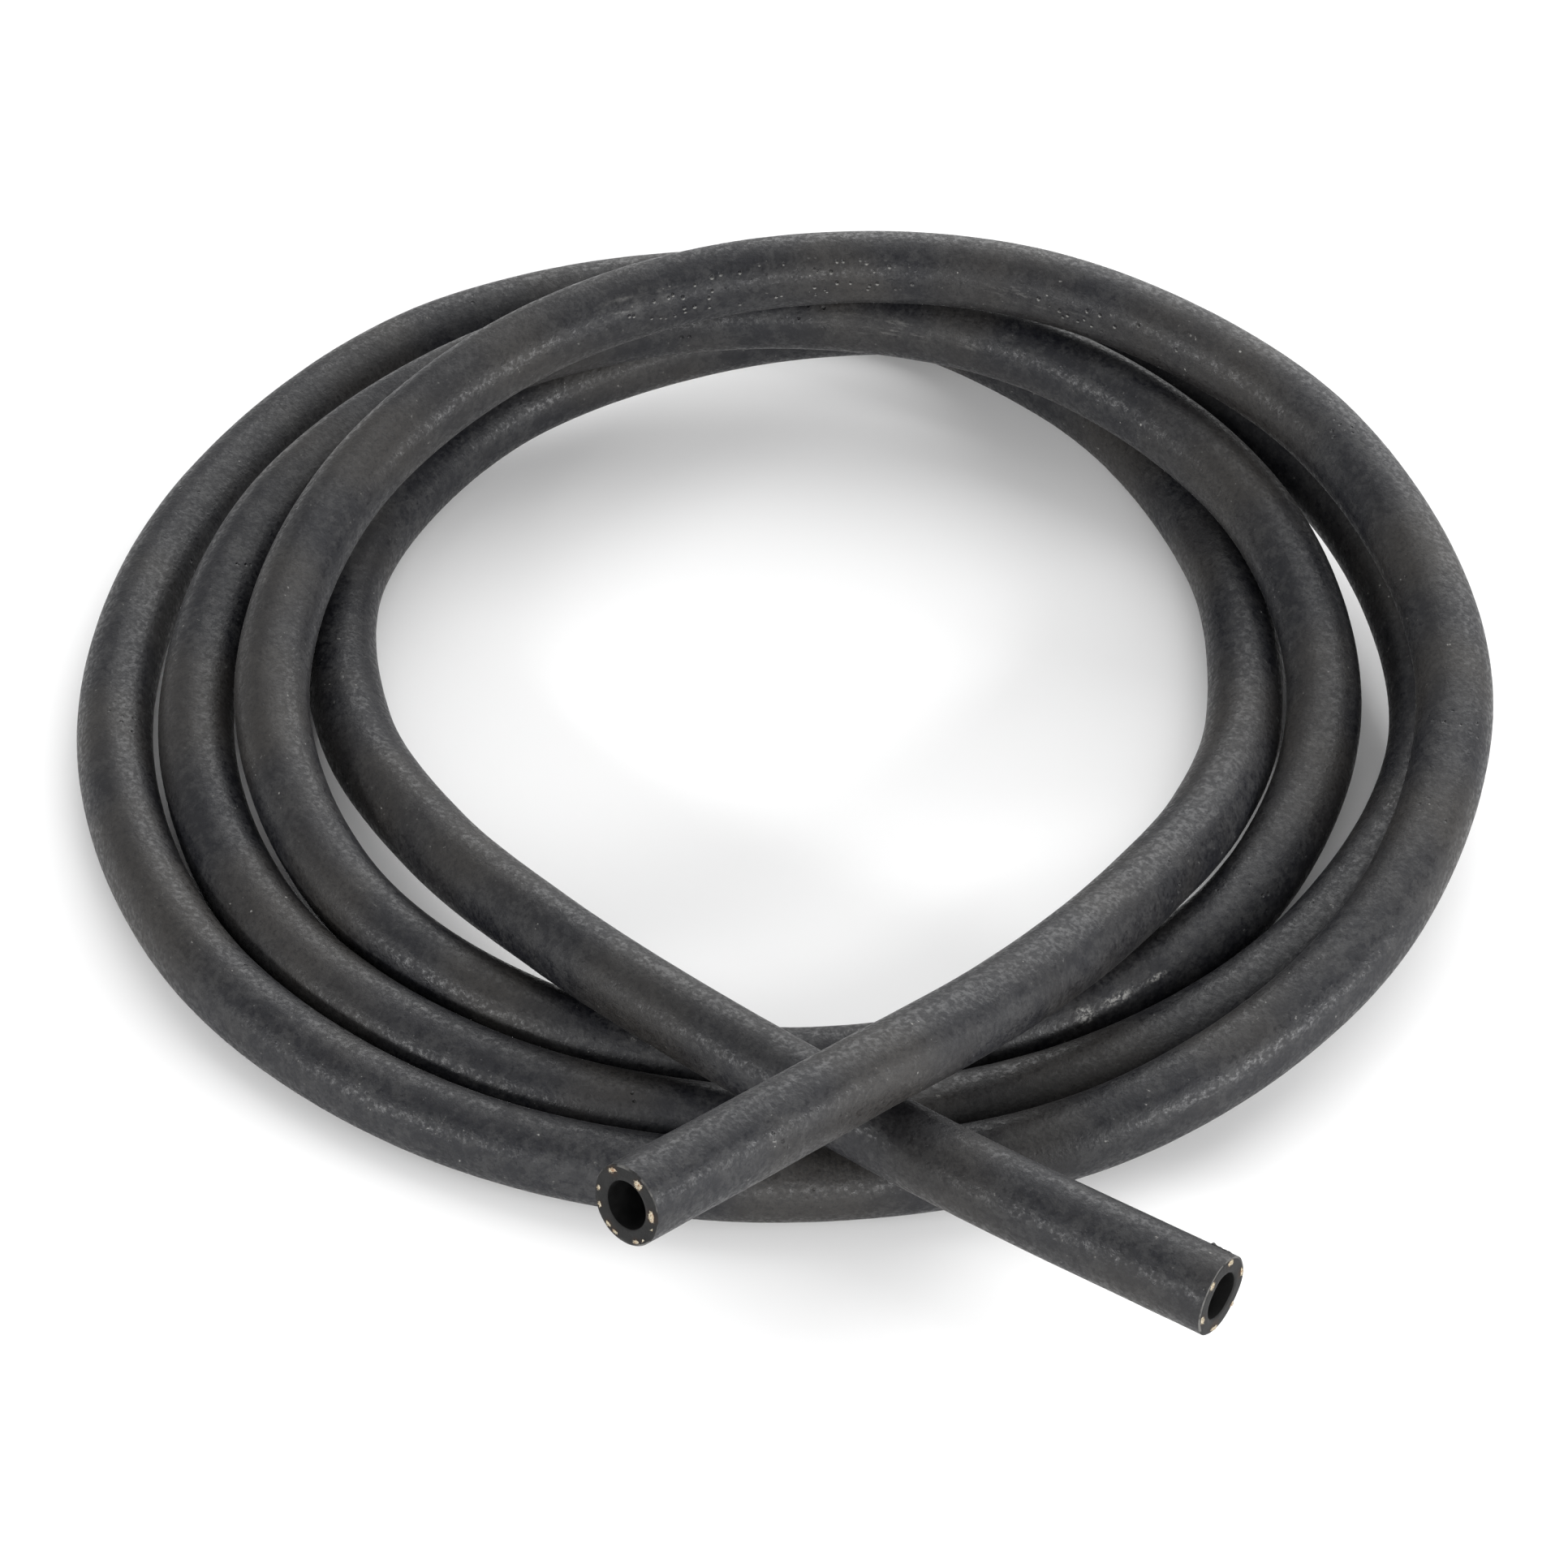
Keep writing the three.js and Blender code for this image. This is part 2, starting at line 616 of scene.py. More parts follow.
    def rubber(
        self, graph: Graph, straight: bpy.types.NodeSocket, wrap: bpy.types.NodeSocket,
        cloth: bpy.types.NodeSocket,
    ) -> bpy.types.NodeSocket:
        """Colour the rubber under its dusty pale marks and painted highlights, with bands of painted shade
        along both tails.

        Args:
            graph: the material's graph.
            straight: the straightened coordinates.
            wrap: the unrolled coordinates.
            cloth: the print of the cloth, from 0 to 1.

        Returns:
            The socket of the colour.
        """
        mottle = graph.add("ShaderNodeGroup", {"Vector": straight}, node_tree=self.effects.mottle)
        weave = graph.times(graph.math("SUBTRACT", cloth, 0.5), self.weave_share)
        blotch = graph.math("ADD", mottle.outputs["Blotch"], weave)
        # Painted shade: the colour is made darker along the shade bands.
        shade_bands = graph.times(self.marked(graph, wrap, self.painted_shade_bands), self.shade_band_share)
        flecked = graph.times(self.flecks.mask(graph, straight), self.fleck_share)
        toned = graph.math("SUBTRACT", blotch, graph.math("ADD", shade_bands, flecked))
        body = graph.mix(graph.between(toned, 0.05, 0.95), self.blue_black, self.charcoal)
        return graph.mix(graph.times(mottle.outputs["Cast"], self.warm_share), body, self.warm)

    def pale_marks(
        self, graph: Graph, straight: bpy.types.NodeSocket, wrap: bpy.types.NodeSocket,
        lip_highlight: bpy.types.NodeSocket,
    ) -> bpy.types.NodeSocket:
        """Gather the specks, scuffs and smears that are paler than the rubber, and the painted highlight on
        the pits' lower lips.

        Args:
            graph: the material's graph.
            straight: the straightened coordinates.
            wrap: the unrolled coordinates.
            lip_highlight: the mask of the painted highlight on the pits' lower lips.

        Returns:
            The socket of their mask.
        """
        specks = graph.times(self.specks.mask(graph, straight), self.dusty.mask(graph, straight))
        scuff = graph.times(self.marked(graph, wrap, self.scuffed), self.torn.mask(graph, straight))
        dragged = Pattern(1, 4, 0.7, 0.50, 0.72).mask(graph, graph.mapped(wrap, (150, 900, 1), 4.0))
        smear = graph.times(self.marked(graph, wrap, self.smeared), dragged)
        light = graph.math("MAXIMUM", specks, scuff)
        light = graph.math("MAXIMUM", light, graph.times(smear, self.smear_share))
        return graph.math("MAXIMUM", light, lip_highlight)

    def build(self) -> bpy.types.Material:
        """Make the material.

        Returns:
            The material.
        """
        material, graph, shader = new_material("rubber_skin")
        straight = graph.attribute(Domain.STRAIGHT)
        wrap = graph.attribute(Domain.WRAP)
        hole, lip_highlight = self.holes(graph, straight, wrap)
        cloth = self.cloth(graph, wrap)
        grain = graph.noise(straight, 1150, 3, 0.6)

        # The pale marks, with the painted highlight on the pits' lower lips among them, are mixed over the
        # rubber.
        light = graph.times(self.pale_marks(graph, straight, wrap, lip_highlight), self.dust_and_lip_highlight_share)
        dusted_and_highlit = graph.mix(light, self.rubber(graph, straight, wrap, cloth), self.dust_and_lip_highlight)
        # Painted shade in the low spots of the grain bump, and in the pits.
        pores = graph.times(graph.between(grain, 0.50, 0.36), self.pore_shade_share)
        grained = graph.mix(pores, dusted_and_highlit, self.pit_shade)
        colour = graph.mix(graph.times(hole, self.pit_shade_share), grained, self.pit_shade)
        graph.feed(shader.inputs["Base Color"], colour)

        rough = graph.scaled(self.worn.mask(graph, straight), self.dull, self.polished)
        shiny = graph.math("SUBTRACT", rough, graph.times(hole, self.pit_gloss))
        graph.feed(shader.inputs["Roughness"], shiny)
        shader.inputs["Specular IOR Level"].default_value = 0.38
        shader.inputs["Sheen Weight"].default_value = 0.22
        shader.inputs["Sheen Roughness"].default_value = 0.07

        lumps = graph.noise(straight, 420, 3, 0.6)
        first = graph.bump(lumps, self.lump_depth, 0.6)
        second = graph.bump(cloth, self.cloth_depth, 0.6, first)
        third = graph.bump(grain, self.grain_depth, 0.55, second)
        sunk = graph.math("SUBTRACT", 1.0, hole)
        graph.feed(shader.inputs["Normal"], graph.bump(sunk, self.pit_depth, 1.0, third))
        return material


@dataclass(frozen=True)
class CutFinish:
    """The sawn rubber of a cut face: dull grey, with fine drag lines from the blade and a painted highlight
    along its outer edge.
    """

    dark: Colour = (0.006, 0.006, 0.006, 1)
    grey: Colour = (0.012, 0.012, 0.012, 1)
    stain: Colour = (0.022, 0.011, 0.006, 1)
    # Painted highlight: a broken pale line along the outer edge of the face.
    rim: Colour = (0.100, 0.098, 0.094, 1)
    highlight_radius: float = 8.08 * MILLIMETRE
    highlight_fade: float = 0.2 * MILLIMETRE
    drag_turn: float = 25.0

    def build(self) -> bpy.types.Material:
        """Make the material.

        Returns:
            The material.
        """
        material, graph, shader = new_material("rubber_cut")
        straight = graph.attribute(Domain.STRAIGHT)
        patches = graph.noise(straight, 420, 3, 0.6)
        rubber = graph.mix(graph.between(patches, 0.35, 0.7), self.dark, self.grey)
        stain = graph.add("ShaderNodeAttribute", attribute_name=Domain.STAIN.value).outputs["Fac"]
        stained = graph.mix(graph.times(graph.between(stain, 0.25, 0.95), 0.75), rubber, self.stain)
        flat = graph.add("ShaderNodeVectorMath", {0: straight, 1: (0, 1, 1)}, operation="MULTIPLY")
        radius = graph.add("ShaderNodeVectorMath", {0: flat.outputs[0]}, operation="LENGTH").outputs["Value"]
        # Painted highlight along the face's outer edge, broken by noise.
        reach = graph.between(radius, self.highlight_radius, self.highlight_radius + self.highlight_fade)
        broken = Pattern(260, 3, 0.6, 0.40, 0.60).mask(graph, straight)
        rim_highlighted = graph.mix(graph.times(reach, broken), stained, self.rim)
        graph.feed(shader.inputs["Base Color"], rim_highlighted)
        graph.feed(shader.inputs["Roughness"], graph.scaled(patches, 0.6, 0.8))
        shader.inputs["Specular IOR Level"].default_value = 0.24
        drags = graph.noise(graph.mapped(straight, (400, 400, 3000), self.drag_turn), 1, 3, 0.6)
        crumbs = graph.noise(straight, 1800, 3, 0.6)
        first = graph.bump(drags, 0.10 * MILLIMETRE, 0.6)
        graph.feed(shader.inputs["Normal"], graph.bump(crumbs, 0.10 * MILLIMETRE, 0.6, first))
        return material


@dataclass(frozen=True)
class BoreFinish:
    """The smooth black lining of the bore, its colour made far darker than the skin's as painted shade inside
    the tube.
    """

    effects: SharedEffects
    # Painted shade: near-black colours for the shade inside the bore.
    dark: Colour = (0.002, 0.002, 0.002, 1)
    grey: Colour = (0.005, 0.005, 0.005, 1)

    def build(self) -> bpy.types.Material:
        """Make the material.

        Returns:
            The material.
        """
        material, graph, shader = new_material("rubber_bore")
        straight = graph.attribute(Domain.STRAIGHT)
        mottle = graph.add("ShaderNodeGroup", {"Vector": straight}, node_tree=self.effects.mottle)
        blotch = mottle.outputs["Blotch"]
        graph.feed(shader.inputs["Base Color"], graph.mix(blotch, self.dark, self.grey))
        graph.feed(shader.inputs["Roughness"], graph.scaled(blotch, 0.5, 0.65))
        shader.inputs["Specular IOR Level"].default_value = 0.25
        ripple = graph.noise(graph.mapped(straight, (500, 120, 120)), 1, 2, 0.5)
        graph.feed(shader.inputs["Normal"], graph.bump(ripple, 0.15 * MILLIMETRE, 0.4))
        return material


@dataclass(frozen=True)
class YarnFinish:
    """Undyed polyester yarn, cream with a rust cast where rubber has soaked in."""

    cream: Colour = (0.40, 0.33, 0.22, 1)
    white: Colour = (0.56, 0.52, 0.42, 1)
    rust: Colour = (0.28, 0.11, 0.045, 1)

    def build(self) -> bpy.types.Material:
        """Make the material.

        Returns:
            The material.
        """
        material, graph, shader = new_material("yarn")
        where = graph.add("ShaderNodeTexCoord").outputs["Object"]
        strands = graph.noise(where, 2600, 2, 0.6)
        soaked = Pattern(620, 2, 0.6, 0.52, 0.70).mask(graph, where)
        pale = graph.mix(graph.between(strands, 0.35, 0.65), self.cream, self.white)
        graph.feed(shader.inputs["Base Color"], graph.mix(graph.times(soaked, 0.7), pale, self.rust))
        graph.feed(shader.inputs["Roughness"], graph.scaled(strands, 0.7, 0.9))
        graph.feed(shader.inputs["Normal"], graph.bump(strands, 0.08 * MILLIMETRE, 0.5))
        return material


# Hose


@dataclass(frozen=True)
class YarnEnd:
    """Where one reinforcing yarn shows on a cut face.

    The clock angle is counted in degrees from the hose's underside towards its right-hand side, and
    depth is the share of the wall between the bore and the outside. The end is wide round the wall
    and high across it, in millimetres.
    """

    clock: float
    depth: float
    wide: float
    high: float


@dataclass(frozen=True)
class Cut:
    """One cut end: how the knife left it, how far out of round the tail is, and its yarns.

    The slant and the oval lean towards their clock angles. Angles are in degrees, ripple in metres,
    and the swell and the ovals are shares of the radius.
    """

    name: str
    slant: float
    slant_clock: float
    ripple: float
    skin_oval: float
    bore_oval: float
    bore_swell: float
    oval_clock: float
    yarns: tuple[YarnEnd, ...]

    def unevenness(self, clock: np.ndarray, radius: np.ndarray | float) -> np.ndarray:
        """Work out how far the face stands out of a square cut.

        Args:
            clock: clock angles in radians.
            radius: the radius at each of them, in metres.

        Returns:
            The height at each clock angle, in metres.
        """
        start = math.radians(self.slant_clock)
        waves = 0.6 * np.sin(2 * clock + start) + 0.4 * np.sin(5 * clock - start)
        return self.ripple * waves - math.tan(math.radians(self.slant)) * radius * np.cos(clock - start)

    def squeeze(self, clock: np.ndarray, bore: bool) -> np.ndarray:
        """Work out how far out of round the end is.

        Args:
            clock: clock angles in radians.
            bore: whether it is the bore, and not the skin.

        Returns:
            How much longer the radius is at each clock angle, as a share.
        """
        amount = self.bore_oval if bore else self.skin_oval
        swell = self.bore_swell if bore else 0.0
        return swell + amount * np.cos(2 * (clock - math.radians(self.oval_clock)))


@dataclass
class HoseWall:
    """The hose itself, as one closed tube with its bore."""

    line: CentreLine
    outer_radius: float
    cuts: tuple[Cut, Cut]
    wall: float = 3.5 * MILLIMETRE
    sides: int = 56
    skin_rings: int = 1340
    bore_rings: int = 330
    face_rings: int = 5
    rim: float = 0.22 * MILLIMETRE
    oval: float = 0.09 * MILLIMETRE
    lump: float = 0.10 * MILLIMETRE
    lump_length: float = 16 * MILLIMETRE
    fine_ratio: float = 2.7
    fine_share: float = 0.3
    lean: float = 3.0
    lean_length: float = 0.12
    ripple_reach: float = 4 * MILLIMETRE
    oval_reach: float = 70 * MILLIMETRE

    @property
    def bore_radius(self) -> float:
        """The radius of the bore."""
        return self.outer_radius - self.wall

    def end_distances(self, run: np.ndarray) -> tuple[tuple[Cut, int, np.ndarray], ...]:
        """Each cut, which way it faces along the run, and how far from it each length run is."""
        return (self.cuts[0], -1, run), (self.cuts[1], 1, self.line.length - run)

    def clocks(self) -> np.ndarray:
        """The clock angle of each corner of a ring, with the first one underneath."""
        return np.arange(self.sides) * 2 * math.pi / self.sides

    def relief(self, run: np.ndarray, clock: np.ndarray) -> np.ndarray:
        """How far the skin stands out of a true cylinder.

        Args:
            run: lengths run, one for each ring.
            clock: clock angles, one for each corner.

        Returns:
            The height at each ring and corner.
        """
        heights = np.zeros((len(run), len(clock)))
        radius = self.outer_radius
        for row, along in enumerate(run):
            for column, angle in enumerate(clock):
                place = Vector((along, radius * math.cos(angle), radius * math.sin(angle)))
                broad = noise.noise(place / self.lump_length)
                fine = noise.noise(place * self.fine_ratio / self.lump_length)
                heights[row, column] = self.lump * ((1 - self.fine_share) * broad + self.fine_share * fine)
            lean = self.lean * noise.noise(Vector((along / self.lean_length, 0.5, 0.5)))
            heights[row] += self.oval * np.cos(2 * (clock - lean))
        return heights

    def out_of_round(self, run: np.ndarray, clock: np.ndarray, bore: bool) -> np.ndarray:
        """Work out how the tails' oval section moves the skin or the bore, fading away from the ends.

        Args:
            run: lengths run, one for each ring.
            clock: clock angles, one for each corner.
            bore: whether it is the bore, and not the skin.

        Returns:
            The change of radius at each ring and corner.
        """
        change = np.zeros((len(run), len(clock)))
        radius = self.bore_radius if bore else self.outer_radius
        for cut, _, distance in self.end_distances(run):
            fade = np.exp(-np.maximum(distance, 0) / self.oval_reach)[:, None]
            change += radius * fade * cut.squeeze(clock, bore)
        return change

    def end_shift(self, run: np.ndarray, clock: np.ndarray, radii: np.ndarray) -> np.ndarray:
        """Work out how the uneven cuts push points along the run, fading away from the ends.

        Args:
            run: lengths run, one for each ring.
            clock: clock angles, one for each corner.
            radii: the radius at each ring and corner.

        Returns:
            The shift at each ring and corner.
        """
        shift = np.zeros((len(run), len(clock)))
        for cut, facing, distance in self.end_distances(run):
            fade = np.exp(-np.maximum(distance, 0) / self.ripple_reach)[:, None]
            shift += facing * fade * cut.unevenness(clock, radii)
        return shift

    def surface(self, run: np.ndarray, radii: np.ndarray) -> np.ndarray:
        """Place rings of points about the centre line.

        Args:
            run: the length run of each ring.
            radii: the radius at each ring and corner.

        Returns:
            The points of each ring, and the coordinates of a straightened hose.
        """
        clock = self.clocks()
        shift = self.end_shift(run, clock, radii)
        centre = self.line.at(run)
        along, side, up = self.line.frames(run)
        right = radii * np.sin(clock)
        height = -radii * np.cos(clock)
        points = (
            centre[:, None]
            + side[:, None] * right[..., None]
            + up[:, None] * height[..., None]
            + along[:, None] * shift[..., None]
        )
        straight = np.stack([run[:, None] + shift, height, right], axis=-1)
        return np.stack([points, straight])

    def face_point(self, index: int, clock: float, radius: float) -> np.ndarray:
        """Place a point on a cut face.

        Args:
            index: which cut it is.
            clock: its clock angle in radians.
            radius: how far it is from the bore's middle.

        Returns:
            The point in the part's frame.
        """
        run = self.cut_run(index)
        centre = self.line.at(run)[0]
        along, side, up = (axis[0] for axis in self.line.frames(run))
        cut = self.cuts[index]
        facing = -1 if index == 0 else 1
        out = facing * float(cut.unevenness(np.array([clock]), radius)[0])
        return centre + side * radius * math.sin(clock) - up * radius * math.cos(clock) + along * out

    def cut_run(self, index: int) -> np.ndarray:
        """The length run at one of the cuts, as a list of one."""
        return np.array([0.0 if index == 0 else self.line.length])

    def rings(self) -> tuple[np.ndarray, list[Slot]]:
        """All the rings in order round the wall: the skin, one cut, the bore and the other cut.

        Returns:
            The points and straight coordinates of each ring, and the slot of the faces after it.
        """
        length, clock = self.line.length, self.clocks()
        near = self.rim * np.array([1, 3, 7])
        middle = np.linspace(14 * self.rim, length - 14 * self.rim, self.skin_rings)
        run = np.concatenate([near, middle, length - near[::-1]])
        skin_radii = self.outer_radius + self.relief(run, clock) + self.out_of_round(run, clock, False)
        skin = self.surface(run, skin_radii)
        bore_run = np.linspace(self.rim, length - self.rim, self.bore_rings)
        bore_radii = self.bore_radius + self.out_of_round(bore_run, clock, True)
        bore = self.surface(bore_run, bore_radii)

        shares = np.linspace(0, 1, self.face_rings)[:, None]
        faces = []
        for index, ring in ((1, -1), (0, 0)):
            outer, inner = skin_radii[ring] - self.rim, bore_radii[ring] + self.rim
            radii = outer + (inner - outer) * shares
            run_there = np.repeat(self.cut_run(index), self.face_rings)
            faces.append(self.surface(run_there, radii))
        whole = np.concatenate([skin, faces[0], bore[:, ::-1], faces[1][:, ::-1]], axis=1)
        slots = (
            [Slot.SKIN] * (len(run) - 1) + [Slot.CUT] * (self.face_rings + 1)
            + [Slot.BORE] * (self.bore_rings - 1) + [Slot.CUT] * (self.face_rings + 1)
        )
        return whole, slots

    def build(self, materials: list[bpy.types.Material]) -> bpy.types.Object:
        """Make the hose's mesh.

        Args:
            materials: one material for each slot.

        Returns:
            The object.
        """
        (points, straight), slots = self.rings()
        count = len(points)
        here = np.arange(count)[:, None] * self.sides + np.arange(self.sides)
        following = np.roll(here, -1, axis=0)
        quads = np.stack(
            [here, following, np.roll(following, -1, axis=1), np.roll(here, -1, axis=1)], axis=-1
        )
        mesh = bpy.data.meshes.new("rubber_hose")
        mesh.from_pydata(points.reshape(-1, 3).tolist(), [], quads.reshape(-1, 4).tolist())
        for material in materials:
            mesh.materials.append(material)
        indices = np.repeat([slot.value for slot in slots], self.sides)
        mesh.polygons.foreach_set("material_index", indices.astype(np.int32))
        mesh.polygons.foreach_set("use_smooth", np.ones(len(mesh.polygons), bool))
        self.mark_coordinates(mesh, straight, quads)
        self.mark_sharp_rims(mesh, slots)
        mesh.update()
        hose = bpy.data.objects.new("rubber_hose", mesh)
        bpy.context.scene.collection.objects.link(hose)
        return hose

    def mark_coordinates(self, mesh: bpy.types.Mesh, straight: np.ndarray, quads: np.ndarray) -> None:
        """Store the straightened and the unrolled coordinates and the stains on the mesh.

        Args:
            mesh: the hose's mesh.
            straight: the straightened coordinates of each ring's corners.
            quads: the four corners of each face.
        """
        plain = mesh.attributes.new(Domain.STRAIGHT.value, "FLOAT_VECTOR", "POINT")
        plain.data.foreach_set("vector", straight.reshape(-1).astype(np.float32))
        rings = quads.reshape(-1, 4)
        run = straight.reshape(-1, 3)[rings, 0]
        corner = np.tile(np.arange(self.sides), len(straight))[:, None] + np.array([0, 0, 1, 1])
        girth = corner * 2 * math.pi / self.sides * self.outer_radius
        flat = np.stack([run, girth, np.zeros_like(run)], axis=-1)
        unrolled = mesh.attributes.new(Domain.WRAP.value, "FLOAT_VECTOR", "CORNER")
        unrolled.data.foreach_set("vector", flat.reshape(-1).astype(np.float32))
        stain = mesh.attributes.new(Domain.STAIN.value, "FLOAT", "POINT")
        stain.data.foreach_set("value", self.stains(straight.reshape(-1, 3)).astype(np.float32))

    def stains(self, straight: np.ndarray) -> np.ndarray:
        """Work out how strongly the yarns stain the rubber.

        Args:
            straight: the straightened coordinates of each point.

        Returns:
            The strength at each point, from 0 to 1.
        """
        stain = np.zeros(len(straight))
        for index, cut in enumerate(self.cuts):
            close = np.abs(straight[:, 0] - self.cut_run(index)[0]) < 1.5 * MILLIMETRE
            for yarn in cut.yarns:
                angle = math.radians(yarn.clock)
                radius = self.bore_radius + yarn.depth * self.wall
                middle = np.array([-radius * math.cos(angle), radius * math.sin(angle)])
                gap = np.linalg.norm(straight[:, 1:] - middle, axis=1)
                near = np.exp(-((gap / (0.75 * yarn.wide * MILLIMETRE)) ** 2))
                stain = np.maximum(stain, near * close)
        return stain

    def mark_sharp_rims(self, mesh: bpy.types.Mesh, slots: list[Slot]) -> None:
        """Make the edges sharp where one slot's faces meet another's.

        Args:
            mesh: the hose's mesh.
            slots: the slot of the faces after each ring.
        """
        sharp = [ring for ring in range(len(slots)) if slots[ring] is not slots[ring - 1]]
        pairs = np.zeros(len(mesh.edges) * 2, np.int32)
        mesh.edges.foreach_get("vertices", pairs)
        ring_of = pairs.reshape(-1, 2) // self.sides
        same = ring_of[:, 0] == ring_of[:, 1]
        hard = same & np.isin(ring_of[:, 0], sharp)
        layer = mesh.attributes.new("sharp_edge", "BOOLEAN", "EDGE")
        layer.data.foreach_set("value", hard)


@dataclass
class YarnTufts:
    """The frayed ends of the reinforcing yarns on one cut face."""

    wall: HoseWall
    cut_index: int
    seed: int
    fibres_per_square_mm: float = 46
    fibre_length: float = 0.40 * MILLIMETRE
    fibre_radius: float = 0.05 * MILLIMETRE
    corners: int = 18
    raggedness: float = 0.45
    dome: float = 0.16 * MILLIMETRE
    sunk: float = 0.12 * MILLIMETRE

    def outward(self) -> np.ndarray:
        """The direction that the cut face looks in."""
        along = self.wall.line.frames(self.wall.cut_run(self.cut_index))[0][0]
        return -along if self.cut_index == 0 else along

    def mound(self, yarn: YarnEnd) -> tuple[list[np.ndarray], list[tuple]]:
        """Shape one yarn's end as a closed, ragged lens half sunk in the face.

        Args:
            yarn: where the yarn is and how large.

        Returns:
            The points and the faces.
        """
        wall, outward = self.wall, self.outward()
        clock = math.radians(yarn.clock)
        radius = wall.bore_radius + yarn.depth * wall.wall
        middle = wall.face_point(self.cut_index, clock, radius)
        rings = ((0.55, 0.8 * self.dome), (1.0, -0.05 * MILLIMETRE), (0.6, -self.sunk))
        points = [middle + outward * self.dome]
        for share, lift in rings:
            for corner in range(self.corners):
                turn = 2 * math.pi * corner / self.corners
                spot = Vector((4 * math.cos(turn), 4 * math.sin(turn), yarn.clock + self.seed))
                reach = share * (1 + self.raggedness * noise.noise(spot)) / 2 * MILLIMETRE
                round_wall = yarn.wide * reach * math.cos(turn) / radius
                across = yarn.high * reach * math.sin(turn)
                place = wall.face_point(self.cut_index, clock + round_wall, radius + across)
                points.append(place + outward * lift)
        points.append(middle - outward * 1.5 * self.sunk)
        faces = []
        last = len(points) - 1
        for corner in range(self.corners):
            following = (corner + 1) % self.corners
            faces.append((0, 1 + corner, 1 + following))
            for ring in range(len(rings) - 1):
                inner, outer = 1 + ring * self.corners, 1 + (ring + 1) * self.corners
                faces.append((inner + corner, outer + corner, outer + following, inner + following))
            under = 1 + (len(rings) - 1) * self.corners
            faces.append((last, under + following, under + corner))
        return points, faces

    def bed(self) -> bpy.types.Mesh:
        """Make the mounds of all the yarns on this face.

        Returns:
            One mesh with all of them.
        """
        points, faces = [], []
        for yarn in self.wall.cuts[self.cut_index].yarns:
            new_points, new_faces = self.mound(yarn)
            first = len(points)
            points += new_points
            faces += [tuple(first + corner for corner in face) for face in new_faces]
        mesh = bpy.data.meshes.new("yarn_bed")
        mesh.from_pydata([tuple(point) for point in points], [], faces)
        work = bmesh.new()
        work.from_mesh(mesh)
        bmesh.ops.recalc_face_normals(work, faces=work.faces)
        work.to_mesh(mesh)
        work.free()
        mesh.polygons.foreach_set("use_smooth", np.ones(len(mesh.polygons), bool))
        return mesh

    def fibre_tree(self, material: bpy.types.Material) -> bpy.types.NodeTree:
        """Build the tree that plants bent fibres on the mounds' upper sides.

        Args:
            material: the yarn's material.

        Returns:
            The Geometry Nodes tree.
        """
        tree = bpy.data.node_groups.new("yarn_fibres", "GeometryNodeTree")
        for title, kind, way in (
            ("Beds", "NodeSocketGeometry", "INPUT"),
            ("Outward", "NodeSocketVector", "INPUT"),
            ("Density", "NodeSocketFloat", "INPUT"),
            ("Length", "NodeSocketFloat", "INPUT"),
            ("Radius", "NodeSocketFloat", "INPUT"),
            ("Fibres", "NodeSocketGeometry", "OUTPUT"),
        ):
            tree.interface.new_socket(title, in_out=way, socket_type=kind)
        graph = Graph(tree)
        entry = graph.add("NodeGroupInput").outputs
        normal = graph.add("GeometryNodeInputNormal").outputs[0]
        facing = graph.add(
            "ShaderNodeVectorMath", {0: normal, 1: entry["Outward"]}, operation="DOT_PRODUCT"
        )
        upper = graph.add(
            "FunctionNodeCompare", {0: facing.outputs["Value"], 1: 0.3}, operation="GREATER_THAN"
        )
        scatter = graph.add(
            "GeometryNodeDistributePointsOnFaces",
            {"Mesh": entry["Beds"], "Selection": upper.outputs[0], "Density": entry["Density"],
             "Seed": self.seed},
        )
        cone = graph.add(
            "GeometryNodeMeshCone",
            {"Vertices": 5, "Side Segments": 2, "Radius Top": 0.0, "Radius Bottom": entry["Radius"],
             "Depth": entry["Length"]},
        )
        lean = graph.add(
            "FunctionNodeRandomValue",
            {0: (-0.9, -0.9, -3.1), 1: (0.9, 0.9, 3.1), "Seed": self.seed + 1},
            data_type="FLOAT_VECTOR",
        )
        spin = graph.add("FunctionNodeEulerToRotation", {0: lean.outputs[0]})
        turned = graph.add(
            "FunctionNodeRotateRotation",
            {0: scatter.outputs["Rotation"], 1: spin.outputs[0]}, rotation_space="LOCAL",
        )
        size = graph.add(
            "FunctionNodeRandomValue", {2: 0.45, 3: 1.25, "Seed": self.seed + 2}, data_type="FLOAT"
        )
        plant = graph.add(
            "GeometryNodeInstanceOnPoints",
            {"Points": scatter.outputs["Points"], "Instance": cone.outputs["Mesh"],
             "Rotation": turned.outputs[0], "Scale": size.outputs[1]},
        )
        both = graph.add("GeometryNodeJoinGeometry")
        graph.feed(both.inputs[0], plant.outputs[0])
        graph.feed(both.inputs[0], entry["Beds"])
        real = graph.add("GeometryNodeRealizeInstances", {0: both.outputs[0]})
        dressed = graph.add("GeometryNodeSetMaterial", {"Geometry": real.outputs[0], "Material": material})
        graph.add("NodeGroupOutput", {"Fibres": dressed.outputs[0]})
        return tree

